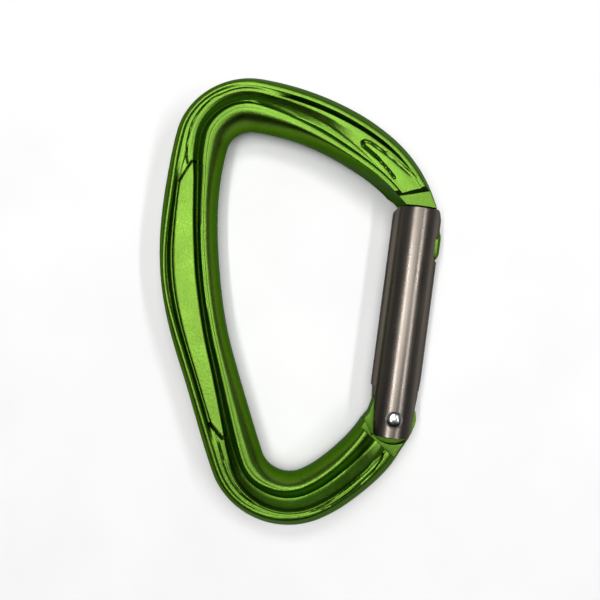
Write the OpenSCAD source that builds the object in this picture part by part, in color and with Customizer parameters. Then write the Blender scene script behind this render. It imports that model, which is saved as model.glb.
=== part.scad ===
// Straight-gate keylock carabiner, asymmetric D, lying on its side.
// X runs from the spine to the gate, Y from the hinge to the nose, Z through the thickness.
// The origin is below the centre of the outline, on the plane that the body rests on.

/* [Body] */
// Thickness of the body, through its side rims
body_t = 11.6; // [11.2:0.1:12.4]
// Width of the bar across its face
bar_w = 11.4; // [11:0.1:11.6]
// Extra width of the bar at the marking pad on the spine
pad_swell = 1.3; // [0.6:0.1:1.6]
// Width that the bar loses towards the nose
nose_taper = 5.4; // [4.6:0.1:5.6]
// Depth of the valley between the two rims
valley_depth = 2.8; // [1:0.1:3.2]
// Width of the flat top of the outer rim
outer_rim_w = 1; // [0.6:0.1:1.4]
// Width of the flat top of the inner ridge
inner_rim_w = 0.7; // [0.5:0.1:1]
// Radius across the face of the rope-bearing inner edge
rope_edge_r = 3.7; // [3:0.1:4]
// Depth that the side faces are milled away beside the nose
nose_flat_cut = 0.9; // [0.5:0.1:1.2]
// Depth that the side faces are milled away beside the hinge
hinge_flat_cut = 1.8; // [1.2:0.1:2.2]
// Width that the bar loses towards the hinge
hinge_taper = 0.8; // [0.4:0.1:1.4]

/* [Gate] */
// Diameter of the gate bar
gate_d = 10.4; // [10.2:0.1:10.8]
// Height of the gate's top end above the hinge axis
gate_top = 44.4; // [44.2:0.1:44.5]
// Length of the gate below the hinge axis
gate_tail = 4.2; // [4:0.1:4.6]
// Radius of the gate's rounded tail about the hinge axis
tail_r = 5.7; // [5.4:0.1:5.8]
// Height of the hinge slot's roof above the hinge axis
slot_roof = 6.2; // [6:0.1:7]
// Width of the slot that straddles the hinge tongue
hinge_slot_w = 5; // [4.9:0.05:5.2]
// Wall left between the nose slot and the inner side of the gate
nose_slot_wall = 1.9; // [1.6:0.1:2.2]
// Edge bevel at the gate's top end
top_bevel = 0.6; // [0.3:0.1:0.9]

/* [Hinge] */
// Thickness of the hinge tongue
tongue_t = 4.6; // [4.4:0.05:4.7]
// Radius of the tongue's outer edge about the hinge axis
tongue_r = 5.3; // [5:0.1:5.4]
// Diameter of the rivet shank
rivet_d = 3; // [2.6:0.1:3.2]
// Diameter of the formed rivet heads
rivet_head_d = 3.4; // [3.3:0.1:3.6]
// Gap round the rivet in the tongue, on the radius
rivet_play = 0.05; // [0.03:0.01:0.08]
// Height of the cam face above the hinge axis, gate shut
cam_height = 4.3; // [4.2:0.1:4.6]
// Lever arm of the push rod about the hinge axis
cam_arm = 1.5; // [1.3:0.1:1.6]

/* [Nose] */
// Radius about the hinge axis at which the arrow head starts
head_start = 34.2; // [34:0.1:34.6]
// Radius about the hinge axis at which the arrow head ends
head_end = 39.9; // [39.4:0.1:40]
// Half the width of the arrow head through the thickness
head_half = 3.2; // [3:0.1:3.3]
// Half the width of the neck through the thickness
neck_half = 1.8; // [1.6:0.1:2]
// Gap between the nose and its slot in the gate
nose_gap = 0.25; // [0.2:0.05:0.3]

/* [Spring] */
// Bore of the spring pocket in the gate
pocket_d = 3.6; // [3.5:0.05:3.7]
// Depth of the spring pocket above the slot roof
pocket_depth = 17; // [15:0.5:19]
// Outer diameter of the coil spring
spring_d = 3.3; // [3.1:0.1:3.4]
// Diameter of the spring wire
wire_d = 0.5; // [0.4:0.05:0.55]
// Number of turns in the spring
spring_turns = 10; // [8:1:12]
// Length of the push rod's head
rod_head_l = 4.6; // [4:0.1:5.2]
// Length of the stem that guides the spring
rod_stem_l = 4; // [3:0.5:6]

/* [Hidden] */

body_colour = [0.16, 0.36, 0.16];
gate_colour = [0.36, 0.34, 0.33];
steel_colour = [0.78, 0.78, 0.80];

mid_z = body_t / 2;
hinge = [24.1, -20.8, mid_z];
smooth = 64;

// Centre line of the bar, from the nose end round the spine to the hinge end
bar_start = [26.9, 21.2];
// Heading of the bar in degrees, by distance along it
bar_heading = [
    [0, 118],
    [3, 125],
    [19, 152],
    [46, 178],
    [61.5, 263],
    [107, 293.5],
    [131, 293.5],
    [150.5, 390.5],
    [156, 403],
    [163, 410],
    [177, 436]
];
bar_length = 175;
ring_gap = 2.5;
ring_count = bar_length / ring_gap;
dish_depth = 0.25;
pad_centre = 90;
pad_reach = 24;
nose_taper_l = 27;
hinge_taper_l = 14;

// Outlines of the milled flats beside the gate's ends, about the hinge axis
nose_flat = [[-12, 43.9], [8, 49.7], [8, 40], [-12, 40]];
hinge_flat = [[-9.2, -0.7], [3.7, -9.6], [8, -8], [8, 10], [-12, 8]];

// Angle span of the nose about the hinge axis, and of its slot in the gate
nose_angles = [80, 94.6];
slot_angles = [75, 95.3];
nose_round_r = 5.5;
// Radius about the hinge axis at which the top arm ends
arm_end = gate_top + 0.5;
// Radius of the socket in the bottom arm that the gate's tail turns in
socket_r = tail_r + 0.4;
// Half the gap between the rivet's two heads
grip = gate_d / 2 - 0.6;
countersink_d = rivet_head_d + 0.3;
// Angle that the gate opens through
gate_swing = 32;
rod_x = hinge.x - cam_arm;
rod_face_y = hinge.y + cam_height;
rod_shoulder_y = rod_face_y + rod_head_l;
pocket_top_y = hinge.y + slot_roof + pocket_depth;

function heading_at(s) = lookup(s, bar_heading);

// Points of the centre line, one for each ring
function centre_line() = [
    for (i = 0, p = bar_start; i <= ring_count;
         i = i + 1,
         h = heading_at((i - 0.5) * ring_gap),
         p = p + ring_gap * [cos(h), sin(h)]) p
];

// Share of a taper that is left at distance s from its end
function fade(s, reach) = s < reach ? pow(1 - s / reach, 2) : 0;

// Width of the bar at distance s
function width_at(s) =
    bar_w
    + (abs(s - pad_centre) < pad_reach ? pad_swell * pow(cos(90 * (s - pad_centre) / pad_reach), 2) : 0)
    - nose_taper * fade(s, nose_taper_l)
    - hinge_taper * fade(bar_length - s, hinge_taper_l);

// Depth of the valley at distance s: it runs out to a shallow dish before both ends
function valley_at(s) =
    dish_depth + (valley_depth - dish_depth) * min(1, max(0, min((s - 9) / 14, (bar_length - 14 - s) / 12)));

// Upper half of the section, outer side first: [across, above the middle]
function half_section(w, v) =
    let (
        o = w / 2,
        h = body_t / 2,
        k = min(1, w / bar_w),
        rim_out = o - 1.3 * k,
        rim_in = rim_out - outer_rim_w * k,
        ridge_in = -o + rope_edge_r * k,
        ridge_out = ridge_in + inner_rim_w * k
    )
    [
        [o, 0],
        [o - 0.2, h - 2.6],
        [o - 0.55 * k, h - 1.1],
        [rim_out, h],
        [rim_in, h],
        [rim_in - 0.7 * k, h - v],
        [ridge_out + 1.1 * k, h - v - 0.05],
        [ridge_out, h],
        [ridge_in, h],
        for (a = [67.5, 45, 22.5]) [-o + rope_edge_r * k * (1 - cos(a)), h * sin(a)],
        [-o, 0]
    ];

// Whole section, as one closed loop
function section(w, v) =
    let (top = half_section(w, v), n = len(top))
    concat(top, [for (i = [n - 2 : -1 : 1]) [top[i].x, -top[i].y]]);

// Middle of a ring of points
function middle(ring) = [for (k = [0 : 2]) sum([for (p = ring) p[k]]) / len(ring)];

function sum(list) = list * [for (v = list) 1];

// Solid skin through rings of equal length, with each end closed by a fan from its middle
module skin(rings) {
    m = len(rings[0]);
    n = len(rings);
    first = n * m;
    last = first + 1;
    polyhedron(
        points = concat([for (ring = rings) each ring], [middle(rings[0]), middle(rings[n - 1])]),
        faces = concat(
            [for (j = [0 : m - 1]) [first, (j + 1) % m, j]],
            [for (j = [0 : m - 1]) [last, (n - 1) * m + j, (n - 1) * m + (j + 1) % m]],
            [for (i = [0 : n - 2], j = [0 : m - 1])
                [i * m + j, i * m + (j + 1) % m, (i + 1) * m + (j + 1) % m, (i + 1) * m + j]]
        )
    );
}

// The forged bar, swept along its centre line
module bar() {
    line = centre_line();
    skin([
        for (i = [0 : ring_count])
            let (
                s = i * ring_gap,
                h = heading_at(s),
                out = [sin(h), -cos(h)]
            )
            [for (q = section(width_at(s), valley_at(s)))
                [line[i].x + out.x * q.x, line[i].y + out.y * q.x, mid_z + q.y]]
    ]);
}

// Moves a shape drawn about the hinge axis to its place
module at_hinge(z = mid_z) {
    translate([hinge.x, hinge.y, z])
        children();
}

// A profile of [radius, height] turned about the hinge axis, between two angles
module about_hinge(angles) {
    at_hinge()
        rotate([0, 0, angles[0]])
            rotate_extrude(angle = angles[1] - angles[0], $fn = smooth)
                children();
}

// A round bar along Y on the gate's axis, from y0 to y1
module gate_bar(r, y0, y1) {
    translate([hinge.x, y0, mid_z])
        rotate([-90, 0, 0])
            cylinder(r = r, h = y1 - y0, $fn = smooth);
}

// A closed profile from its upper half, mirrored below the X axis
function mirrored(half) =
    concat(half, [for (i = [len(half) - 1 : -1 : 0]) [half[i].x, -half[i].y]]);

// Keylock profile: arrow head and neck, as [radius, height], grown by a gap
module keylock_profile(gap, neck_top) {
    slope = head_half - neck_half;
    polygon(mirrored([
        [head_start - gap, head_half - 0.9],
        [head_start + 0.9 - gap * 0.4, head_half + gap],
        [head_end - slope + gap * 0.4, head_half + gap],
        [head_end + gap * 0.4, neck_half + gap],
        [neck_top, neck_half + gap]
    ]));
}

// The nose that the gate closes on, narrowing towards the arm
module nose() {
    intersection() {
        about_hinge(nose_angles)
            keylock_profile(0, arm_end + 2.5);
        gate_bar(nose_round_r, hinge.y, hinge.y + arm_end + 4);
        at_hinge(0)
            linear_extrude(body_t)
                polygon([[-8, 30], [8, 30], [5.5, 38], [3.4, 45.5], [1.5, 49], [-8, 49]]);
    }
}

// Cutter that mills both side faces lower over an outline about the hinge axis
module milled_faces(depth, outline) {
    for (z = [-1, body_t - depth])
        at_hinge(z)
            linear_extrude(depth + 1)
                polygon(outline);
}

// What the gate's shut tail and open flank need out of the bottom arm
module swing_room() {
    at_hinge(-1) {
        cylinder(r = socket_r, h = body_t + 2, $fn = smooth);
        linear_extrude(body_t + 2)
            polygon([[-4.2, -3.9], [-6.6, 0], [-9, 3.8], [-9, 12], [8, 12], [8, -1.5], [0, -2]]);
    }
}

// Point on the cam that drives the push rod evenly, at a gate angle
function cam_point(a) =
    (cam_height + cam_arm * a * PI / 180) * [-sin(a), cos(a)] - cam_arm * [cos(a), sin(a)];

// Hinge tongue in plan: cam at the top left, round nose on the right, root below
module tongue() {
    at_hinge(mid_z - tongue_t / 2)
        linear_extrude(tongue_t)
            polygon(concat(
                [for (a = [0 : 6 : gate_swing + 4]) cam_point(a)],
                [[-4.9, 0.5], [-5.7, -0.7], [-6.6, -3.5], [-5, -8], [1, -9], [3.6, -5.8], [4.6, -3.8]],
                [for (a = [-24 : 6 : 48]) tongue_r * [cos(a), sin(a)]],
                [[0.6, cam_height - 0.3], [-cam_arm + 0.4, cam_height - 0.03]]
            ));
}

module frame() color(body_colour)
    union() {
        difference() {
            bar();
            // Flat end of the top arm, just clear of the gate
            at_hinge(-1)
                translate([-15, arm_end - 10])
                    cube([30, 10, body_t + 2]);
            milled_faces(nose_flat_cut, nose_flat);
            milled_faces(hinge_flat_cut, hinge_flat);
            swing_room();
        }
        nose();
        difference() {
            tongue();
            at_hinge(-1)
                cylinder(r = rivet_d / 2 + rivet_play, h = body_t + 2, $fn = smooth);
        }
    }

// The gate's bar before it is slotted, with a bevelled top end
module gate_blank() {
    r = gate_d / 2;
    translate([hinge.x, hinge.y, mid_z])
        rotate([-90, 0, 0])
            rotate_extrude($fn = smooth)
                polygon([
                    [0, -gate_tail],
                    [r, -gate_tail],
                    [r, gate_top - top_bevel],
                    [r - top_bevel, gate_top],
                    [0, gate_top]
                ]);
}

module gate() color(gate_colour)
    difference() {
        gate_blank();
        // Keyhole slot that takes the nose, open to the outer side and the top
        about_hinge(slot_angles)
            keylock_profile(nose_gap, gate_top + 4);
        // Slot that straddles the hinge tongue
        at_hinge(mid_z - hinge_slot_w / 2)
            translate([-gate_d, -gate_tail - 1])
                cube([2 * gate_d, gate_tail + 1 + slot_roof, hinge_slot_w]);
        // Rounded tail
        at_hinge(-1)
            difference() {
                translate([-gate_d, -gate_tail - 1])
                    cube([2 * gate_d, gate_tail + 1, body_t + 2]);
                translate([0, 0, -1])
                    cylinder(r = tail_r, h = body_t + 4, $fn = smooth);
            }
        // Spring pocket, drilled up from the slot
        translate([rod_x, hinge.y + slot_roof - 0.5, mid_z])
            rotate([-90, 0, 0])
                cylinder(d = pocket_d, h = pocket_depth + 0.5, $fn = smooth);
        // Rivet hole and its two recesses
        at_hinge(-1)
            cylinder(d = rivet_d, h = body_t + 2, $fn = smooth);
        for (z = [mid_z - grip - 5, mid_z + grip])
            at_hinge(z)
                cylinder(d = countersink_d, h = 5, $fn = smooth);
    }

// Half of the rivet's profile, from the middle to the top of a domed head
function rivet_half() =
    let (r = rivet_head_d / 2)
    concat(
        [[rivet_d / 2, grip], [r, grip]],
        [for (a = [0 : 15 : 75]) [r * cos(a), grip + 0.3 + 0.5 * sin(a)]],
        [[0, grip + 0.8]]
    );

module hinge_rivet() color(steel_colour)
    at_hinge()
        rotate_extrude($fn = smooth)
            polygon(mirrored(rivet_half()));

// Spring wire, wound about the push rod's axis with a closed turn at each end
module gate_spring() color(steel_colour) {
    steps = 12;
    coil_r = (spring_d - wire_d) / 2;
    low = rod_shoulder_y + wire_d / 2;
    high = pocket_top_y - wire_d / 2;
    rise = [[0, low], [1, low + wire_d], [spring_turns - 1, high - wire_d], [spring_turns, high]];
    skin([
        for (i = [0 : spring_turns * steps])
            let (turn = 360 * i / steps, y = lookup(i / steps, rise))
            [for (a = [0 : 60 : 300])
                let (r = coil_r + wire_d / 2 * cos(a))
                [rod_x + r * cos(turn), y + wire_d / 2 * sin(a), mid_z + r * sin(turn)]]
    ]);
}

// Follower between the spring and the cam, with a stem that guides the spring
module push_rod() color(steel_colour)
    translate([rod_x, rod_face_y, mid_z])
        rotate([-90, 0, 0]) {
            cylinder(d = pocket_d - 0.1, h = rod_head_l, $fn = smooth);
            cylinder(d = spring_d - 2 * wire_d - 0.3, h = rod_head_l + rod_stem_l, $fn = smooth);
        }

frame();
gate();
hinge_rivet();
gate_spring();
push_rod();
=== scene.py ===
import math

import bpy
import numpy as np
from mathutils import Matrix, Vector


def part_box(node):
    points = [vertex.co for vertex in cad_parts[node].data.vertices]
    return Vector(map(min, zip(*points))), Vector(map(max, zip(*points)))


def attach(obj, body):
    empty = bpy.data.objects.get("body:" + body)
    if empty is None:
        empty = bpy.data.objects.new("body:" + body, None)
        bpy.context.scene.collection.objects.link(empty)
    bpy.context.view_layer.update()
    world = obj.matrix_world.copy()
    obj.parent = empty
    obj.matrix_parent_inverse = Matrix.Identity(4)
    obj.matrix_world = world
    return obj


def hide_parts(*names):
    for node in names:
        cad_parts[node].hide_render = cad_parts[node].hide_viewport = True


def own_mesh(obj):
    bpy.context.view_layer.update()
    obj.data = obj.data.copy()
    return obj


# A straight-gate keylock carabiner: forged green frame, turned grey gate, polished rivet.
# Shapes are worked out in millimetres in the CAD frame and scaled to metres when they are made.

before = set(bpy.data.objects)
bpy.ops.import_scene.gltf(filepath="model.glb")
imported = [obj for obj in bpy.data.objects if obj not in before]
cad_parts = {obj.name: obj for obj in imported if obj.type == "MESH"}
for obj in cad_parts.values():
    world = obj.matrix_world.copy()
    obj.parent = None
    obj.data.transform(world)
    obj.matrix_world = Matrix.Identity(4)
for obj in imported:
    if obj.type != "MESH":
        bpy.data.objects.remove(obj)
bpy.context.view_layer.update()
MM = 0.001


def node_box(name):
    """Lower and upper corner of a CAD node's box, in mm."""
    low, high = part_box(name)
    return np.array(low) / MM, np.array(high) / MM


# ---------------------------------------------------------------- driving sizes, from the frame

frame_low, frame_high = node_box("frame")
rivet_low, rivet_high = node_box("hinge_rivet")
gate_low, gate_high = node_box("gate")
spring_low, spring_high = node_box("gate_spring")
rod_low, rod_high = node_box("push_rod")

HINGE = (rivet_low + rivet_high) / 2
MID_Z = HINGE[2]
HALF_T = (frame_high[2] - frame_low[2]) / 2
GATE_R = (gate_high[2] - gate_low[2]) / 2
GATE_TOP = gate_high[1] - HINGE[1]
GATE_TAIL = HINGE[1] - gate_low[1]

# Centre line of the bar: where it starts, measured from the hinge, and its heading along it
BAR_START = HINGE[:2] + (2.8, 42.0)
BAR_LENGTH = 175
BAR_HEADING = [
    (0, 118), (3, 125), (19, 152), (46, 178), (61.5, 263), (107, 293.5),
    (131, 293.5), (150.5, 390.5), (156, 403), (163, 410), (177, 436),
]
BAR_W = 11.4
PAD_SWELL, PAD_CENTRE, PAD_REACH = 1.3, 90, 24
NOSE_TAPER, NOSE_TAPER_L = 5.4, 27
HINGE_TAPER, HINGE_TAPER_L = 0.8, 14
# Heights above the middle plane where the outer wall changes its slant
WALL_BREAKS = 2.2, 4.3

# Keylock nose, measured from the hinge axis: radii where its head starts and where it has narrowed
# to the neck, and half heights of head and neck. The nose and the gate's slot for it are turned
# between the angles below.
KEYLOCK = {"start": 34.2, "end": 39.9, "head": 3.2, "neck": 1.8}
NOSE_ANGLES, NOSE_SLOT_ANGLES = (80, 94.6), (75, 95.3)
NOSE_R, NOSE_GAP, END_GAP = 5.5, 0.25, 0.48
NOSE_FLAT_DEPTH, NOSE_FLAT_RISER = 0.9, 1.15

# Hinge: tongue of the body, slot and ears of the gate, rivet
TONGUE_R, TONGUE_HALF_T, SLOT_HALF_T = 4.95, 2.3, 2.5
HINGE_FLAT_DEPTH, TAIL_ROOM_R = 1.8, 5.35
SHANK_R, BORE_R, RECESS_R, HEAD_R = 1.5, 1.55, 1.85, 1.6
EAR_FACE = 4.6

# Heights well clear of the object, for cutting right through it, and the same from its middle
BELOW, ABOVE, CLEAR = -2, 14, 8

# ---------------------------------------------------------------- curves along the bar
# Each is a list of (distance along the bar, value), in mm. Positions across the bar are
# measured outward from the centre line, and depths down from the side plane.

# How much narrower the bar is than its half width, on the inner and on the outer side
INNER_TRIM = [(0, 1.1), (8, 0.8), (16, 0.6), (24, 0.55), (36, 0.35), (46, 0.1), (62, 0.6), (95, 0.6),
              (128, 0.3), (136, 0)]
OUTER_TRIM = [(0, 0.9), (5, 0.8), (10, 0.55), (18, 0.45), (30, 0.2), (40, 0.08), (70, 0.08),
              (80, 0.02), (138, 0), (145, 0.3), (155, 0.35), (165, 0.25), (175, 0.2)]
WALL_SLANT = [(0, 1.1), (8, 1.4), (20, 1.7), (45, 1.6), (53, 1.1), (60, 0.4), (90, 0.3), (126, 0.35),
              (132, 0.6), (140, 1.8), (150, 2.0), (165, 1.7), (175, 1.5)]
RIM = [(0, 0.9), (5, 1.2), (10, 1.7), (15, 2.2), (20, 2.5), (30, 2.75), (40, 2.85), (45, 3.0),
       (50, 3.2), (55, 3.5), (60, 3.95), (65, 4.0), (70, 3.9), (75, 4.0), (80, 4.4), (85, 4.85),
       (90, 5.1), (95, 4.95), (100, 4.5), (105, 4.15), (110, 4.05), (120, 3.95), (130, 3.8),
       (135, 3.35), (140, 2.75), (146, 2.4), (155, 2.45), (160, 2.6), (166, 2.55), (175, 2.4)]
RIM_LINE = [(46, 0), (58, 0.4), (132, 0.4), (144, 0)]
GROOVE = [(9, 0.9), (11, 1.2), (15, 1.65), (18, 1.95), (22, 2.1), (30, 2.15), (42, 2.3),
          (60, 2.45), (66, 2.3), (70, 2.75), (75, 2.95), (80, 3.2), (85, 3.55), (90, 3.7),
          (95, 3.6), (100, 3.35), (105, 3.1), (110, 3.0), (120, 2.9), (124, 2.6), (130, 2.3),
          (135, 1.9), (140, 1.6), (160, 1.75), (175, 1.7)]
GROOVE_DEPTH = [(9, 0.05), (13, 0.5), (18, 1.0), (24, 1.3), (38, 1.3), (43, 0.4), (48, 0.15),
                (67, 0.15), (70, 0.4), (72, 1.2), (75, 1.5), (118, 1.5), (121, 1.1),
                (123.5, 0.4), (126, 0.15), (175, 0.2)]
SHELF_FOOT_DEPTH = [(0, 0.1), (9, 0.15), (20, 0.7), (38, 0.8), (43, 0.5), (48, 0.4), (67, 0.4),
                    (70, 0.5), (72, 1.1), (75, 1.4), (118, 1.4), (121, 1.0), (124, 0.45),
                    (175, 0.35)]
SHELF_OUT = [(0, 0.2), (10, 0.7), (15, 1.0), (22, 1.25), (42, 1.4), (50, 1.8), (60, 1.9),
             (66, 1.85), (71.5, 2.4), (75, 2.5), (80, 2.75), (85, 3.0), (90, 3.15), (95, 3.1),
             (100, 2.9), (105, 2.7), (110, 2.6), (120, 2.45), (124, 2.0), (127, 1.8),
             (133, 1.5), (140, 1.3), (165, 1.3), (175, 1.2)]
SHELF_OUT_DEPTH = [(0, 0.1), (10, 0.25), (20, 0.5), (42, 0.5), (50, 0.35), (66, 0.4),
                   (70, 0.45), (122, 0.45), (128, 0.35), (175, 0.3)]
SHELF_IN = [(0, -2.3), (8, -2.75), (18, -2.75), (24, -1.8), (31, -0.6), (40, 0.2), (45, 0.8), (55, 1.0),
            (60, 1.1), (65, 0.7), (67, 0.3), (70, -0.45), (75, -0.95), (80, -1.25), (85, -1.45),
            (95, -1.45), (100, -1.3), (105, -1.05), (110, -0.75), (115, -0.35), (120, 0.1),
            (124, 0.5), (127, 0.9), (133, 0.9), (140, 0.7), (160, 0.75), (175, 0.5)]
SHELF_IN_DEPTH = [(0, 0.2), (10, 0.5), (20, 0.9), (30, 1.3), (40, 1.25), (45, 0.8),
                  (64, 0.55), (68, 0.45), (124, 0.45), (128, 0.55), (140, 0.95), (175, 1.0)]
VALLEY_EDGE_DEPTH = [(0, 0.25), (12, 0.55), (20, 1.0), (30, 1.5), (40, 1.45), (45, 1.0), (60, 0.8),
                     (66, 0.8), (69, 1.2), (122, 1.2), (126, 1.0), (140, 1.4), (175, 1.2)]
VALLEY = [(0, -2.9), (8, -3.15), (18, -3.15), (25, -2.7), (31, -2.0), (40, -1.3), (45, -0.6), (50, -0.2),
          (60, 0.2), (65, -0.2), (70, -1.1), (75, -1.6), (85, -2.05), (95, -2.05), (100, -1.9),
          (110, -1.4), (120, -0.6), (127, -0.3), (133, -0.6), (140, -1.1), (150, -1.3),
          (175, -1.4)]
VALLEY_DEPTH = [(0, 0.25), (9, 0.5), (14, 0.7), (20, 1.1), (30, 1.8), (40, 2.2), (50, 1.8),
                (60, 1.8), (68, 1.8), (75, 1.7), (90, 1.7), (110, 1.8), (122, 2.0), (130, 2.3),
                (140, 2.7), (150, 2.8), (163, 2.7), (168, 1.9), (175, 1.8)]
RIDGE_OUT = [(0, -3.1), (8, -3.5), (18, -3.7), (25, -3.6), (30, -3.1), (35, -2.6),
             (40, -2.0), (45, -1.5), (50, -1.3), (60, -1.2), (65, -1.6), (70, -2.3),
             (75, -2.65), (80, -2.9), (90, -3.1), (100, -3.0), (110, -2.6), (120, -2.05),
             (125, -1.8), (130, -1.7), (135, -2.2), (140, -3.0), (145, -3.35), (150, -3.5),
             (160, -3.5), (165, -3.7), (175, -4.0)]
RIDGE_IN = [(0, -3.5), (5, -4.05), (10, -4.3), (15, -4.5), (20, -4.6), (25, -4.4), (30, -4.1),
            (35, -3.6), (40, -3.0), (45, -2.45), (50, -2.15), (60, -2.1), (65, -2.4),
            (70, -3.0), (75, -3.35), (80, -3.65), (90, -3.9), (100, -3.75), (110, -3.3),
            (120, -2.75), (125, -2.5), (130, -2.45), (135, -3.2), (140, -3.8), (145, -3.95),
            (160, -4.1), (165, -4.45), (175, -4.7)]
RIDGE_LINE = [(34, 0), (48, 0.38), (136, 0.38), (146, 0)]

# Creases in the side faces: (route as (along, across), depth, half width); negative is raised
CREASES = [
    # Leaf beside the nose: shallow upper edge, round end, deep lower edge
    ([(9.6, 0.55), (13, 0.25), (18, 0.08), (21, 0.12), (22.1, -0.25), (22.3, -0.8)], 0.24, 0.26),
    ([(22.3, -0.8), (21.8, -1.25), (19, -1.55), (17, -1.78)], 0.42, 0.26),
    ([(18, -1.66), (15, -2.02), (12.2, -2.35)], 0.3, 0.2),
    ([(9.3, 0.95), (12, 0.65), (17, 0.55)], 0.12, 0.15),
    # Line from the upper corner to the tip of the marking pad, and the pad's slanted end
    ([(53, 2.2), (60, 2.4), (64, 2.2), (66.5, 1.75), (67.5, 1.3)], 0.25, 0.14),
    ([(66.8, -0.2), (67, 0.6), (71.4, 2.5)], 0.7, 0.13),
    # The pad's lower slanted end, and the line that leaves it
    ([(121.2, 2.65), (124.6, 1.1), (124.5, 0.3)], 0.8, 0.2),
    ([(125, 1.9), (130, 2.2), (134, 1.9), (139, 1.4)], 0.3, 0.16),
    # Light creases in the floor of the valley
    ([(37, -1.3), (45, -0.3), (50, -0.45), (58, -0.25)], -0.12, 0.18),
    ([(132, -0.35), (140, -0.9), (145, -1.4), (150, -1.5), (160, -1.2)], -0.14, 0.2),
]
# Shallow leaf-shaped recess beside the hinge
LEAF = [(147, 1.7), (152, 2.1), (158, 2.33), (164, 2.25), (167, 1.95), (168.4, 1.45),
        (168, 1.0), (166, 0.8), (160, 1.05), (153, 1.45)]
LEAF_DEPTH, LEAF_EDGE = 0.5, 0.3
LEAF_START, LEAF_FADE = 149, 8
# A crease of more than this many points fades in over its first stretch
CREASE_SHORT, CREASE_FADE = 3, 1.5
# Marking pad: its two ends along the bar, how far across they start, and their slant
PAD_ENDS, PAD_CORNERS, PAD_SLANT = (66.9, 124.5), (0.3, 0.95), 0.46


def along(points, s, soft=1.0):
    """Values at distances s on a line through (distance, value) points, its corners softened."""
    step = 0.2
    xs, ys = zip(*points)
    fine = np.arange(-8, BAR_LENGTH + 8, step)
    reach = np.arange(-3 * soft, 3 * soft + step / 2, step)
    kernel = np.exp(-0.5 * (reach / soft) ** 2)
    kernel /= kernel.sum()
    pad = len(kernel) // 2
    values = np.pad(np.interp(fine, xs, ys), pad, mode="edge")
    return np.interp(s, fine, np.convolve(values, kernel, mode="valid"))


def fade(s, reach):
    """Share of a taper that is left at distance s from its end."""
    return np.clip(1 - s / reach, 0, 1) ** 2


def half_width(s):
    near_pad = np.clip(np.abs(s - PAD_CENTRE) / PAD_REACH, 0, 1)
    return 0.5 * (
        BAR_W
        + PAD_SWELL * np.cos(near_pad * math.pi / 2) ** 2
        - NOSE_TAPER * fade(s, NOSE_TAPER_L)
        - HINGE_TAPER * fade(BAR_LENGTH - s, HINGE_TAPER_L)
    )


def centre_line(s):
    """Points of the bar's centre line at distances s, and the outward direction there."""
    step = 0.05
    fine = np.arange(0, BAR_LENGTH + step, step)
    stops, angles = zip(*BAR_HEADING)
    middle = np.radians(np.interp(fine + step / 2, stops, angles))
    steps = step * np.stack([np.cos(middle), np.sin(middle)], 1)
    line = BAR_START + np.vstack([[0, 0], np.cumsum(steps, 0)[:-1]])
    here = np.radians(np.interp(s, stops, angles))
    points = np.stack([np.interp(s, fine, line[:, k]) for k in (0, 1)], 1)
    return points, np.stack([np.sin(here), -np.cos(here)], 1)


# ---------------------------------------------------------------- mesh helpers, in mm


def make(name, points, faces):
    """A mesh object from points in mm."""
    mesh = bpy.data.meshes.new(name)
    mesh.from_pydata([tuple(p) for p in points], [], [tuple(f) for f in faces])
    piece = bpy.data.objects.new(name, mesh)
    bpy.context.scene.collection.objects.link(piece)
    return piece


def skin(name, rings, closed=False):
    """A closed skin through rings of points: capped at both ends, or joined up if closed."""
    rings = np.asarray(rings, float)
    n, m = rings.shape[:2]
    faces = [
        (i * m + j, i * m + (j + 1) % m, (i + 1) % n * m + (j + 1) % m, (i + 1) % n * m + j)
        for i in range(n if closed else n - 1)
        for j in range(m)
    ]
    if not closed:
        faces += [tuple(range(m - 1, -1, -1)), tuple(range((n - 1) * m, n * m))]
    piece = make(name, rings.reshape(-1, 3), faces)
    outward(piece)
    return piece


def outward(piece):
    """Turns a closed mesh right side out."""
    co = np.array([v.co for v in piece.data.vertices])
    volume = 0.0
    piece.data.calc_loop_triangles()
    for t in piece.data.loop_triangles:
        a, b, c = (co[i] for i in t.vertices)
        volume += np.dot(a, np.cross(b, c))
    if volume < 0:
        piece.data.flip_normals()


def prism(name, outline, low, high):
    """An outline of (x, y) points, as a prism between two heights."""
    return skin(name, [[(x, y, z) for x, y in outline] for z in (low, high)])


def box(name, low, high):
    (x0, y0, z0), (x1, y1, z1) = low, high
    return prism(name, [(x0, y0), (x1, y0), (x1, y1), (x0, y1)], z0, z1)


def arc(centre, radius, start, end, steps):
    """Points of an arc, angles in degrees."""
    angles = np.radians(np.linspace(start, end, steps + 1))
    return [(centre[0] + radius * math.cos(a), centre[1] + radius * math.sin(a)) for a in angles]


def around_hinge(points):
    """Points measured from the hinge axis, moved to their place."""
    return [(HINGE[0] + x, HINGE[1] + y) for x, y in points]


def about_hinge(name, profile, angles, steps):
    """A closed profile of (radius, height) turned about the hinge axis between two angles."""
    turned = np.radians(np.linspace(*angles, steps + 1))
    return skin(name, [
        [(HINGE[0] + r * math.cos(a), HINGE[1] + r * math.sin(a), MID_Z + z) for r, z in profile]
        for a in turned
    ])


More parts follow.
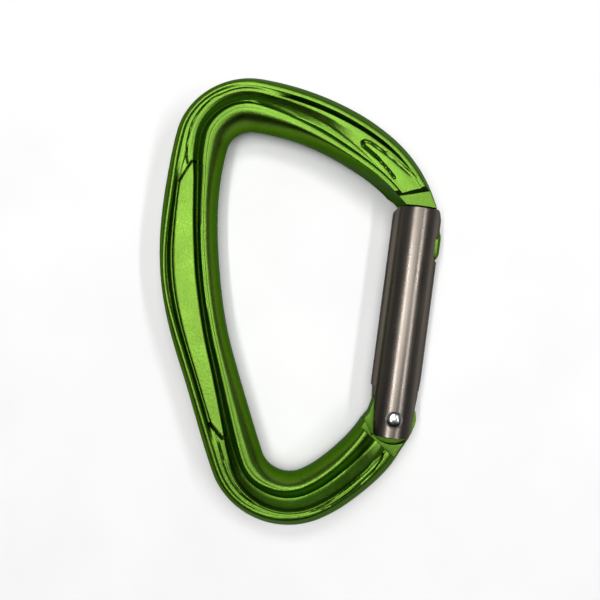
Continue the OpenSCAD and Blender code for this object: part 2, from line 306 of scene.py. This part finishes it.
def lathe(name, profile, origin, axis, steps=128):
    """A profile of (radius, height), closed by the axis, turned about an axis through origin."""
    turn = Vector((0, 0, 1)).rotation_difference(Vector(axis)).to_matrix()
    rings = []
    for a in np.linspace(0, 2 * math.pi, steps, endpoint=False):
        rings.append([
            tuple(Vector(origin) + turn @ Vector((r * math.cos(a), r * math.sin(a), z)))
            for r, z in profile
        ])
    n, m = steps, len(profile)
    points = [p for ring in rings for p in ring]
    ends = [tuple(Vector(origin) + turn @ Vector((0, 0, profile[k][1]))) for k in (0, -1)]
    faces = []
    for i in range(n):
        k = (i + 1) % n
        faces += [(i * m + j, k * m + j, k * m + j + 1, i * m + j + 1) for j in range(m - 1)]
        faces += [(n * m, k * m, i * m), (n * m + 1, i * m + m - 1, k * m + m - 1)]
    piece = make(name, points + ends, faces)
    outward(piece)
    return piece


def dome(radius, reach, steps):
    """Profile of a shallow dome centred on the hinge, from its rim to its top."""
    return [(r, math.sqrt(radius ** 2 - r ** 2)) for r in np.linspace(reach, 0.02, steps)]


def through(radius):
    """Profile of a round hole right through the object."""
    return [(radius, -CLEAR), (radius, CLEAR)]


def combine(piece, other, operation):
    """Boolean of two closed meshes; the second one is used up and takes the first's material."""
    if not other.data.materials:
        other.data.materials.append(piece.data.materials[0])
    step = piece.modifiers.new("combine", "BOOLEAN")
    step.operation = operation
    step.object = other
    step.solver = "MANIFOLD"
    graph = bpy.context.evaluated_depsgraph_get()
    result = bpy.data.meshes.new_from_object(piece.evaluated_get(graph))
    piece.modifiers.clear()
    piece.data = result
    bpy.data.objects.remove(other)


def cut(piece, other):
    combine(piece, other, "DIFFERENCE")


def keep_inside(piece, other):
    combine(piece, other, "INTERSECT")


def join(piece, other):
    combine(piece, other, "UNION")


def finish_piece(piece, name, body, replaced, crease, material=None):
    """Names a piece, gives it a material if told one, and hangs it on its body, in metres."""
    piece.name = name
    if material:
        piece.data.materials.append(material)
    piece.data.transform(Matrix.Scale(MM, 4))
    piece.data.shade_smooth()
    piece.data.set_sharp_from_angle(angle=math.radians(crease))
    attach(piece, body)
    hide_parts(replaced)
    return piece


# ---------------------------------------------------------------- the forged frame


def stations():
    """Distances of the rings: close together where the side faces have fine detail."""
    spans = [(0, 24, 0.2), (24, 54, 0.5), (54, 64, 0.4), (64, 73, 0.24), (73, 118, 0.55),
             (118, 127, 0.28), (127, 148, 0.5), (148, 170, 0.33), (170, BAR_LENGTH, 0.5)]
    rows = [np.linspace(a, b, round((b - a) / gap), endpoint=False) for a, b, gap in spans]
    return np.append(np.concatenate(rows), BAR_LENGTH)


def knots(s):
    """Upper half of the section at distances s: (across, height, columns to the next)."""
    top, flat = HALF_T, 0 * s
    outer = half_width(s) - along(OUTER_TRIM, s, 3)
    inner = half_width(s) - along(INNER_TRIM, s, 3)
    slant = along(WALL_SLANT, s, 2)
    rim = np.minimum(along(RIM, s), outer - 0.9)
    rim_line = along(RIM_LINE, s)
    groove, deep = along(GROOVE, s), along(GROOVE_DEPTH, s, 0.6)
    shelf_out, shelf_in = along(SHELF_OUT, s), along(SHELF_IN, s)
    out_deep, in_deep = along(SHELF_OUT_DEPTH, s), along(SHELF_IN_DEPTH, s, 0.6)
    valley = along(VALLEY, s)
    ridge_out, ridge_in = along(RIDGE_OUT, s), along(RIDGE_IN, s)
    ridge_line = along(RIDGE_LINE, s)
    rows = [
        (outer, flat, 3),
        (outer - 0.38 * slant, WALL_BREAKS[0] + flat, 4),
        (outer - slant, WALL_BREAKS[1] + flat, 4),
        (0.42 * (outer - slant) + 0.58 * (rim + 0.2), top - 0.42 + flat, 3),
        (rim + 0.22, top - 0.05 + flat, 2),
        (rim - 0.2, top + flat, 1),
        (rim - 0.36, top - 0.02 + flat, 2),
        (rim - 0.5, top - 0.03 - rim_line, 2),
        (rim - 0.64, top - 0.05 + flat, 3),
        (np.minimum(groove + 0.5, rim - 0.7), top - 0.12 - 0.1 * deep, 4),
        (groove + 0.17, top - deep, 2),
        (groove - 0.17, top - deep, 4),
        (np.minimum(shelf_out + 0.16, groove - 0.2), top - along(SHELF_FOOT_DEPTH, s, 0.6), 3),
        (shelf_out - 0.04, top - out_deep, 8),
        (0.6 * shelf_out + 0.4 * shelf_in, top - 0.8 * out_deep - 0.2 * in_deep, 14),
        (shelf_in + 0.04, top - in_deep, 3),
        (shelf_in - 0.16, top - along(VALLEY_EDGE_DEPTH, s, 0.6), 6),
        (valley, top - along(VALLEY_DEPTH, s), 8),
        (0.55 * ridge_out + 0.45 * valley, top - 0.38 * along(VALLEY_DEPTH, s), 4),
        (ridge_out + 0.12, top - 0.03 + flat, 2),
        (0.5 * (ridge_out + ridge_in) + 0.17, top - 0.01 + flat, 1),
        (0.5 * (ridge_out + ridge_in), top - 0.02 - ridge_line, 1),
        (0.5 * (ridge_out + ridge_in) - 0.17, top - 0.02 + flat, 2),
        (ridge_in, top - 0.08 + flat, 2),
    ]
    for angle in np.radians([76, 66, 56, 46, 36, 26, 13, 0]):
        reach = ridge_in + inner
        rows.append((
            -inner + reach * (1 - math.cos(angle)) ** 0.9,
            (top - 0.08) * math.sin(angle) ** 0.92 + flat,
            2,
        ))
    return rows


def distance_to(route, s, u):
    """Distance from (s, u) to a route of points."""
    best = np.full(s.shape, 1e9)
    for (s0, u0), (s1, u1) in zip(route, route[1:]):
        ds, du = s1 - s0, u1 - u0
        t = np.clip(((s - s0) * ds + (u - u0) * du) / (ds * ds + du * du), 0, 1)
        best = np.minimum(best, np.hypot(s - s0 - t * ds, u - u0 - t * du))
    return best


def inside(outline, s, u):
    """True where (s, u) is inside an outline."""
    found = np.zeros(s.shape, bool)
    for (s0, u0), (s1, u1) in zip(outline, outline[1:] + outline[:1]):
        crosses = (u0 > u) != (u1 > u)
        found ^= crosses & (s < (s1 - s0) * (u - u0) / (u1 - u0 + 1e-12) + s0)
    return found


def relief(s, u):
    """Depth of the creases and of the leaf beside the hinge, at places on the side face."""
    depth = np.zeros(s.shape)
    for route, deep, wide in CREASES:
        away = distance_to(route, s, u) / wide
        first = min(p[0] for p in route)
        run = np.clip((s - first) / CREASE_FADE, 0, 1) if len(route) > CREASE_SHORT else 1
        depth += deep * np.exp(-(away ** 2)) * run
    edge = distance_to(LEAF + LEAF[:1], s, u)
    share = np.where(inside(LEAF, s, u), np.clip(edge / LEAF_EDGE, 0, 1), 0)
    shown = np.clip((s - LEAF_START) / LEAF_FADE, 0, 1)
    return depth + LEAF_DEPTH * share * (2 - share) * shown


def frame_rings():
    """Rings of the bar, and for each of their points whether it is on the blasted marking pad."""
    s = stations()
    rows = knots(s)
    across, height = [], []
    for (u0, z0, n), (u1, z1, _) in zip(rows, rows[1:]):
        for k in range(n):
            across.append(u0 + (u1 - u0) * k / n)
            height.append(z0 + (z1 - z0) * k / n)
    across.append(rows[-1][0])
    height.append(rows[-1][1])
    u, z = np.stack(across, 1), np.stack(height, 1)
    for _ in range(2):
        u[:, 1:-1] = 0.25 * u[:, :-2] + 0.5 * u[:, 1:-1] + 0.25 * u[:, 2:]
        z[:, 1:-1] = 0.25 * z[:, :-2] + 0.5 * z[:, 1:-1] + 0.25 * z[:, 2:]
    grid = np.repeat(s[:, None], u.shape[1], 1)
    on_face = np.clip((z - 3) / 1, 0, 1)
    z = z - relief(grid, u) * on_face
    points, out = centre_line(s)
    x = points[:, :1] + out[:, :1] * u
    y = points[:, 1:] + out[:, 1:] * u
    top = np.stack([x, y, MID_Z + z], 2)
    under = np.stack([x, y, MID_Z - z], 2)[:, -2:0:-1]
    pad = on_pad(grid, u) & (z > 3)
    return np.concatenate([top, under], 1), np.concatenate([pad, pad[:, -2:0:-1]], 1)


def on_pad(s, u):
    """True on the marking pad: between its two long edges and its two slanted ends."""
    start, end = PAD_ENDS
    upper = np.minimum(along(SHELF_OUT, s), PAD_CORNERS[0] + (s - start) * PAD_SLANT)
    upper = np.minimum(upper, PAD_CORNERS[1] + (end - s) * PAD_SLANT)
    return (u < upper) & (u > along(SHELF_IN, s)) & (s > start) & (s < end)


def mirrored(half):
    """A closed profile from its upper half."""
    return half + [(r, -z) for r, z in reversed(half)]


def keylock_profile(gap, neck_top):
    """The nose's T-shaped section, grown by a gap, with its neck up to a given radius."""
    k = KEYLOCK
    return mirrored([
        (k["start"] - gap, k["head"] - 0.9),
        (k["start"] + 0.25 - 0.6 * gap, k["head"] - 0.35 + 0.5 * gap),
        (k["start"] + 0.9 - 0.4 * gap, k["head"] + gap),
        (k["end"] - k["head"] + k["neck"] + 0.4 * gap, k["head"] + gap),
        (k["end"] + 0.4 * gap, k["neck"] + gap),
        (neck_top, k["neck"] + gap),
    ])


def nose():
    """The keylock nose: T-shaped, rounded to the gate's bar and cut to its plan."""
    piece = about_hinge("nose", keylock_profile(0, GATE_TOP + 3), NOSE_ANGLES, 48)
    piece.data.materials.append(green)
    along_gate = [(NOSE_R, 0), (NOSE_R, GATE_TOP + 5)]
    keep_inside(piece, lathe("round", along_gate, HINGE, (0, 1, 0)))
    plan = [(-8, 30), (3.6, 33), (4.5, 34), (5.2, 35.1), (5.5, 36.3), (5.5, 38), (3.4, 45.5),
            (1.5, 49), (-8, 49)]
    keep_inside(piece, prism("plan", around_hinge(plan), MID_Z - CLEAR, MID_Z + CLEAR))
    return piece


def tongue():
    """The hinge tongue: a cam that works the push rod, and a round nose on the gate's outer side."""
    cam_height, cam_arm = rod_low[1] - HINGE[1], HINGE[0] - (rod_low[0] + rod_high[0]) / 2
    outline = []
    for a in np.radians(np.arange(0, 37, 3)):
        lift = cam_height + cam_arm * a
        outline.append((
            -lift * math.sin(a) - cam_arm * math.cos(a),
            lift * math.cos(a) - cam_arm * math.sin(a),
        ))
    outline += [(-4.9, 0.5), (-5.7, -0.7), (-6.6, -3.5), (-5, -8), (1, -9), (3.6, -5.8), (4.6, -3.8)]
    outline += arc((0, 0), TONGUE_R, -24, 48, 18)
    outline += [(0.6, cam_height - 0.3), (-cam_arm + 0.4, cam_height - 0.03)]
    low, high = MID_Z - TONGUE_HALF_T, MID_Z + TONGUE_HALF_T
    piece = prism("tongue", around_hinge(outline), low, high)
    piece.data.materials.append(green)
    cut(piece, lathe("bore", through(BORE_R), HINGE, (0, 0, 1), 64))
    return piece


def build_frame():
    """The forged body: the bar, cut for the gate at both ends, with its nose and its tongue."""
    rings, pad = frame_rings()
    piece = skin("frame_bar", rings)
    piece.data.materials.append(green)
    piece.data.materials.append(blasted)
    columns = rings.shape[1]
    for face in piece.data.polygons[:(len(rings) - 1) * columns]:
        face.material_index = int(pad[divmod(face.index, columns)])
    # Hollow end of the top arm, just clear of the gate's domed end
    end = [(13, 34)] + dome(GATE_TOP + END_GAP, 13, 24)
    cut(piece, lathe("end", end, HINGE, (0, 1, 0), 96))
    # Flat above the gate; its far edge is lifted outward, so that it ends in a sloped step
    nose_flat = [(-12, 43.9), (-12, 38), (8, 38), (8, 49.7)]
    for side in (1, -1):
        floor = MID_Z + side * (HALF_T - NOSE_FLAT_DEPTH)
        far = MID_Z + side * (HALF_T + NOSE_FLAT_DEPTH)
        lift = [(x, y + (2 * NOSE_FLAT_RISER if y > 40 else 0)) for x, y in nose_flat]
        levels = (nose_flat, floor), (lift, far)
        rings = [[(x, y, z) for x, y in around_hinge(outline)] for outline, z in levels]
        cut(piece, skin("nose_flat", rings))
    # Flats beside the hinge
    hinge_flat = [(-9.2, -0.7), (3.7, -9.6), (8, -8), (8, 10), (-12, 8)]
    lower, upper = frame_low[2] + HINGE_FLAT_DEPTH, frame_high[2] - HINGE_FLAT_DEPTH
    for low, high in ((BELOW, lower), (upper, ABOVE)):
        cut(piece, prism("hinge_flat", around_hinge(hinge_flat), low, high))
    # Room for the gate's tail and for its flank when it is open
    cut(piece, prism("tail_room", arc(HINGE, TAIL_ROOM_R, 0, 360, 96)[:-1], BELOW, ABOVE))
    room = [(-4.2, -3.9), (-6.6, 0), (-9, 3.8), (-9, 12), (8, 12), (8, -1.5), (0, -2)]
    cut(piece, prism("ear_room", around_hinge(room), BELOW, ABOVE))
    join(piece, nose())
    join(piece, tongue())
    # Straight outer side below the hinge
    heel = [(5.3, -0.2), (3.8, -4.1), (2.2, -7.2), (1.4, -9.5), (0.85, -12.2), (12, -13), (12, -0.2)]
    cut(piece, prism("heel", around_hinge(heel), BELOW, ABOVE))
    return piece


# ---------------------------------------------------------------- the gate and its works


def build_gate():
    """The gate bar: slotted for the nose and the tongue, with softened ends."""
    r, top, tail = GATE_R, GATE_TOP, GATE_TAIL
    soft = 0.3
    profile = [(r - 0.15, -tail + 0.3), (r, -tail + 0.45)]
    profile += arc((r - soft, top - soft), soft, 0, 80, 6)
    profile += dome(top + 0.3, r - 0.5, 10)
    piece = lathe("gate_bar", profile, HINGE, (0, 1, 0), 160)
    piece.data.materials.append(grey)
    x, y, _ = HINGE
    # Round inner corner and tapered outer flank at the top end, in plan
    edge, corner = top + 0.3, 2.4
    inner = [(-r - 2, edge + 2), (-r - 2, edge - corner), (-r, edge - corner)]
    inner += arc((corner - r, edge - corner), corner, 180, 90, 12) + [(corner - r, edge + 2)]
    outer = [(r + 2, edge + 2), (r + 2, edge - 5.3), (r, edge - 5.3), (r - 0.2, edge - 3.6)]
    outer += [(r - 0.5, edge - 2.2), (r - 0.9, edge - 1), (r - 1.5, edge - 0.2), (r - 2, edge + 2)]
    for outline in (inner, outer):
        cut(piece, prism("corner", around_hinge(outline), BELOW, ABOVE))
    # Keyhole slot for the nose
    cut(piece, about_hinge("nose_slot", keylock_profile(NOSE_GAP, top + 4), NOSE_SLOT_ANGLES, 60))
    # Slot that straddles the tongue
    low, high = MID_Z - SLOT_HALF_T, MID_Z + SLOT_HALF_T
    cut(piece, box("slot", (x - 10, y - tail - 3, low), (x + 10, y + 6.2, high)))
    # Rounded tail and the relief on the outer side of the ears
    flank = [(-3.1, -tail), (-3.6, -3.6), (-3.75, -3.0), (-4.0, 0), (-4.6, 5.9), (-5.6, 6.6)]
    flank += [(-5.6, top + 2), (5.6, top + 2), (5.6, 12), (5.05, 9.2), (4.7, 6.2), (4.35, 3.2)]
    flank += [(4.2, 0.5), (4.1, -2.4), (3.6, -3.5), (2.9, -tail)]
    keep_inside(piece, prism("ears", around_hinge(flank), BELOW, ABOVE))
    # Spring pocket, rivet hole and its two recesses
    rod_x = (rod_low[0] + rod_high[0]) / 2
    pocket = [(1.8, 5.7), (1.8, 23.2)]
    cut(piece, lathe("pocket", pocket, (rod_x, y, MID_Z), (0, 1, 0), 48))
    cut(piece, lathe("hole", through(SHANK_R), HINGE, (0, 0, 1), 64))
    for low, high in ((EAR_FACE, CLEAR), (-CLEAR, -EAR_FACE)):
        recess = [(RECESS_R, low), (RECESS_R, high)]
        cut(piece, lathe("recess", recess, HINGE, (0, 0, 1), 96))
    return piece


def build_rivet():
    """Headed pin: shank, and a polished dome at each end."""
    edge, rise = 0.16, 0.8
    half = [(SHANK_R, 0), (SHANK_R, EAR_FACE), (HEAD_R, EAR_FACE), (HEAD_R, EAR_FACE + edge)]
    for a in np.radians(np.arange(6, 85, 6)):
        half.append((HEAD_R * math.cos(a), EAR_FACE + edge + (rise - edge) * math.sin(a)))
    under = [(r, -z) for r, z in reversed(half[1:])]
    return lathe("rivet", under + half, HINGE, (0, 0, 1), 96)


def build_spring():
    """Coil of round wire with a closed turn at each end, as long as its CAD node."""
    wire, turns, steps, sides = 0.5, 10, 36, 12
    radius = (spring_high[0] - spring_low[0]) / 2 - wire / 2
    centre = (spring_low + spring_high) / 2
    low, high = spring_low[1] + wire / 2, spring_high[1] - wire / 2
    rise = ([0, 1, turns - 1, turns], [low, low + wire, high - wire, high])
    rings = []
    for i in range(turns * steps + 1):
        turn, y = 2 * math.pi * i / steps, np.interp(i / steps, *rise)
        ring = []
        for a in np.linspace(0, 2 * math.pi, sides, endpoint=False):
            r = radius + wire / 2 * math.cos(a)
            ring.append((
                centre[0] + r * math.cos(turn),
                y + wire / 2 * math.sin(a),
                centre[2] + r * math.sin(turn),
            ))
        rings.append(ring)
    return skin("spring", rings)


def build_rod():
    """Push rod: a head with softened edges, and the stem that guides the spring."""
    centre, base = (rod_low + rod_high) / 2, rod_low[1]
    profile = [(1.35, 0), (1.6, 0.1), (1.75, 0.35), (1.75, 4.35), (1.5, 4.6), (1.0, 4.6)]
    profile += [(1.0, 8.3), (0.7, 8.6)]
    return lathe("rod", profile, (centre[0], base, centre[2]), (0, 1, 0), 64)


# ---------------------------------------------------------------- materials


def new_material(name):
    """A node material with its shader and a helper that adds nodes."""
    material = bpy.data.materials.new(name)
    material.use_nodes = True
    tree = material.node_tree
    shader = tree.nodes["Principled BSDF"]

    def add(kind, inputs=(), **settings):
        node = tree.nodes.new(kind)
        for key, value in settings.items():
            setattr(node, key, value)
        for key, value in dict(inputs).items():
            if isinstance(value, bpy.types.NodeSocket):
                tree.links.new(value, node.inputs[key])
            else:
                node.inputs[key].default_value = value
        return node

    def wire(output, key):
        tree.links.new(output, shader.inputs[key])

    return material, shader, add, wire


def ramp(add, factor, low, high, start=0.3, end=0.7):
    """A two-colour ramp over a factor."""
    node = add("ShaderNodeValToRGB", {"Fac": factor})
    node.color_ramp.elements[0].position, node.color_ramp.elements[1].position = start, end
    node.color_ramp.elements[0].color, node.color_ramp.elements[1].color = low, high
    return node.outputs["Color"]


def anodised_green(name, dark, light, smoothest, roughest, grain_depth):
    """Green anodising over a finely blasted forging, with painted shade darkening its valleys."""
    material, shader, add, wire = new_material(name)
    shader.inputs["Metallic"].default_value = 1.0
    shader.inputs["Specular Tint"].default_value = (0.3, 0.35, 0.3, 1)
    place = add("ShaderNodeTexCoord").outputs["Object"]
    grain = add("ShaderNodeTexNoise", {"Vector": place, "Scale": 2300, "Detail": 2})
    cloud = add("ShaderNodeTexNoise", {"Vector": place, "Scale": 240, "Detail": 4})
    speck = add("ShaderNodeTexNoise", {"Vector": place, "Scale": 1900, "Detail": 3})
    tone = add("ShaderNodeMix", {"Factor": 0.6, "A": cloud.outputs["Fac"], "B": speck.outputs["Fac"]})
    dye = ramp(add, tone.outputs["Result"], (*dark, 1), (*light, 1))
    # Painted shade: the base colour is darkened in the valleys and crevices that ambient occlusion finds
    painted_valley_shade_ao = add("ShaderNodeAmbientOcclusion", {"Distance": 0.0035}, samples=8)
    # Ramp from the occlusion to the painted shade's darkening factor
    deep = ramp(add, painted_valley_shade_ao.outputs["AO"], (0.62, 0.68, 0.54, 1), (1, 1, 1, 1), 0.4, 0.85)
    shade = add("ShaderNodeMix", data_type="RGBA", blend_type="MULTIPLY")
    shade.inputs["Factor"].default_value = 1.0
    link = material.node_tree.links.new
    link(dye, shade.inputs["A"])
    link(deep, shade.inputs["B"])
    wire(shade.outputs["Result"], "Base Color")
    rough = add("ShaderNodeMapRange", {
        "Value": cloud.outputs["Fac"], "From Min": 0.3, "From Max": 0.7,
        "To Min": smoothest, "To Max": roughest})
    wire(rough.outputs["Result"], "Roughness")
    bump = add("ShaderNodeBump", {
        "Strength": 0.5, "Distance": grain_depth, "Height": grain.outputs["Fac"]})
    wire(bump.outputs["Normal"], "Normal")
    return material


def turned_grey():
    """Warm grey hard anodising on a bar turned and brushed along its length."""
    material, shader, add, wire = new_material("turned_grey")
    shader.inputs["Metallic"].default_value = 1.0
    shader.inputs["Specular Tint"].default_value = (0.3, 0.3, 0.3, 1)
    place = add("ShaderNodeTexCoord").outputs["Object"]
    stretch = add("ShaderNodeMapping", {"Vector": place, "Scale": (1.0, 0.03, 1.0)})
    lines = add("ShaderNodeTexNoise", {
        "Vector": stretch.outputs["Vector"], "Scale": 1700, "Detail": 3})
    cloud = add("ShaderNodeTexNoise", {"Vector": place, "Scale": 180, "Detail": 3})
    wire(ramp(add, lines.outputs["Fac"], (0.115, 0.10, 0.086, 1), (0.16, 0.14, 0.121, 1)), "Base Color")
    rough = add("ShaderNodeMapRange", {
        "Value": cloud.outputs["Fac"], "From Min": 0.3, "From Max": 0.7, "To Min": 0.25, "To Max": 0.31})
    wire(rough.outputs["Result"], "Roughness")
    bump = add("ShaderNodeBump", {
        "Strength": 0.3, "Distance": 0.00001, "Height": lines.outputs["Fac"]})
    wire(bump.outputs["Normal"], "Normal")
    return material


def steel(name, tint, smoothest, roughest, grain_size):
    """Bare steel with a faint grain."""
    material, shader, add, wire = new_material(name)
    shader.inputs["Metallic"].default_value = 1.0
    place = add("ShaderNodeTexCoord").outputs["Object"]
    grain = add("ShaderNodeTexNoise", {"Vector": place, "Scale": grain_size, "Detail": 4})
    dull = tuple(0.82 * c for c in tint)
    wire(ramp(add, grain.outputs["Fac"], (*dull, 1), (*tint, 1)), "Base Color")
    rough = add("ShaderNodeMapRange", {
        "Value": grain.outputs["Fac"], "From Min": 0.3, "From Max": 0.7,
        "To Min": smoothest, "To Max": roughest})
    wire(rough.outputs["Result"], "Roughness")
    bump = add("ShaderNodeBump", {
        "Strength": 0.15, "Distance": 0.00002, "Height": grain.outputs["Fac"]})
    wire(bump.outputs["Normal"], "Normal")
    return material


def pale_floor():
    """Matt white board with a hardly visible mottle."""
    material, shader, add, wire = new_material("pale_floor")
    place = add("ShaderNodeTexCoord").outputs["Object"]
    cloud = add("ShaderNodeTexNoise", {"Vector": place, "Scale": 40, "Detail": 3})
    wire(ramp(add, cloud.outputs["Fac"], (0.86, 0.86, 0.86, 1), (0.9, 0.9, 0.9, 1)), "Base Color")
    shader.inputs["Roughness"].default_value = 0.8
    return material


# ---------------------------------------------------------------- camera, light and floor


def look(location, target):
    """The turn that points a camera or lamp at a target."""
    return (Vector(target) - Vector(location)).to_track_quat("-Z", "Y")


def add_camera():
    """Straight down on the object, which is turned a little in the picture."""
    distance, width, turn = 146, 128.1, 7.5
    aim = 1.6, 1.2
    data = bpy.data.cameras.new("camera")
    data.sensor_width = 36
    data.lens = data.sensor_width * distance / width
    data.clip_start = 0.01
    camera = bpy.data.objects.new("camera", data)
    camera.location = Vector((*aim, MID_Z + distance)) * MM
    camera.rotation_euler = (0, 0, math.radians(turn))
    bpy.context.scene.collection.objects.link(camera)
    bpy.context.scene.camera = camera


def add_light(name, azimuth, elevation, size, power):
    """A softbox that faces the object. Azimuth 0 is +X and 90 is +Y."""
    distance = 0.6
    a, e = math.radians(azimuth), math.radians(elevation)
    centre = Vector((0, 0, MID_Z * MM))
    towards = Vector((math.cos(a) * math.cos(e), math.sin(a) * math.cos(e), math.sin(e)))
    place = centre + distance * towards
    data = bpy.data.lights.new(name, "AREA")
    data.shape = "RECTANGLE"
    data.size, data.size_y = size
    data.energy = power
    light = bpy.data.objects.new(name, data)
    light.location = place
    light.rotation_mode = "QUATERNION"
    light.rotation_quaternion = look(place, centre)
    bpy.context.scene.collection.objects.link(light)


def add_world():
    """Pale surroundings near the horizon, dim higher up and darkest overhead and on the -Y side."""
    world = bpy.data.worlds.new("studio")
    world.use_nodes = True
    tree = world.node_tree
    place = tree.nodes.new("ShaderNodeTexCoord")
    split = tree.nodes.new("ShaderNodeSeparateXYZ")
    tree.links.new(place.outputs["Generated"], split.inputs["Vector"])
    shade = tree.nodes.new("ShaderNodeValToRGB")
    # (height of the direction, brightness)
    levels = [(0.1, 0.6), (0.25, 0.22), (0.8, 0.12), (1.0, 0.03)]
    for _ in levels[2:]:
        shade.color_ramp.elements.new(0.5)
    for stop, (height, grey_level) in zip(shade.color_ramp.elements, levels):
        stop.position = height
        stop.color = (grey_level, grey_level, grey_level, 1)
    tree.links.new(split.outputs["Z"], shade.inputs["Fac"])
    # The room is darker on the -Y side, so that walls facing it go nearly black
    side = tree.nodes.new("ShaderNodeMapRange")
    side.inputs["From Min"].default_value, side.inputs["From Max"].default_value = -0.5, 0.0
    side.inputs["To Min"].default_value, side.inputs["To Max"].default_value = 0.04, 1.0
    tree.links.new(split.outputs["Y"], side.inputs["Value"])
    back = tree.nodes["Background"]
    tree.links.new(shade.outputs["Color"], back.inputs["Color"])
    tree.links.new(side.outputs["Result"], back.inputs["Strength"])
    bpy.context.scene.world = world


def add_floor():
    """A wide pale board at the carabiner's lowest level."""
    half = 900
    outline = [(-half, -half), (half, -half), (half, half), (-half, half)]
    floor = make("floor", [(x, y, 0) for x, y in outline], [(0, 1, 2, 3)])
    floor.data.transform(Matrix.Scale(MM, 4))
    floor.data.materials.append(pale_floor())


# ---------------------------------------------------------------- put together

bpy.context.scene.view_settings.view_transform = "Standard"
add_camera()
add_world()
add_light("overhead", 100, 86, (0.32, 0.3), 1.28)
add_light("key", 100, 60, (0.28, 0.1), 0.95)
add_light("left", 188, 76, (0.4, 0.03), 1.15)
add_light("right", 8, 60, (0.4, 0.03), 0.95)
add_floor()

green = anodised_green("anodised_green", (0.07, 0.15, 0.016), (0.10, 0.195, 0.024), 0.33, 0.42, 0.00007)
blasted = anodised_green("blasted_pad", (0.11, 0.22, 0.025), (0.15, 0.28, 0.035), 0.44, 0.52, 0.00012)
grey = turned_grey()
polished = steel("polished_steel", (0.5, 0.5, 0.51), 0.18, 0.25, 900)
spring_steel = steel("spring_steel", (0.55, 0.55, 0.56), 0.2, 0.3, 1500)
rod_steel = steel("rod_steel", (0.62, 0.61, 0.60), 0.25, 0.35, 1500)

finish_piece(build_frame(), "forged_frame", "body", "frame", 32)
finish_piece(build_gate(), "gate_sleeve", "gate", "gate", 30)
finish_piece(build_rivet(), "rivet_pin", "gate", "hinge_rivet", 35, polished)
finish_piece(build_rod(), "spring_follower", "push_rod", "push_rod", 30, rod_steel)
spring_piece = finish_piece(
    build_spring(), "coil_spring", "gate", "gate_spring", 40, spring_steel)
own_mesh(spring_piece)
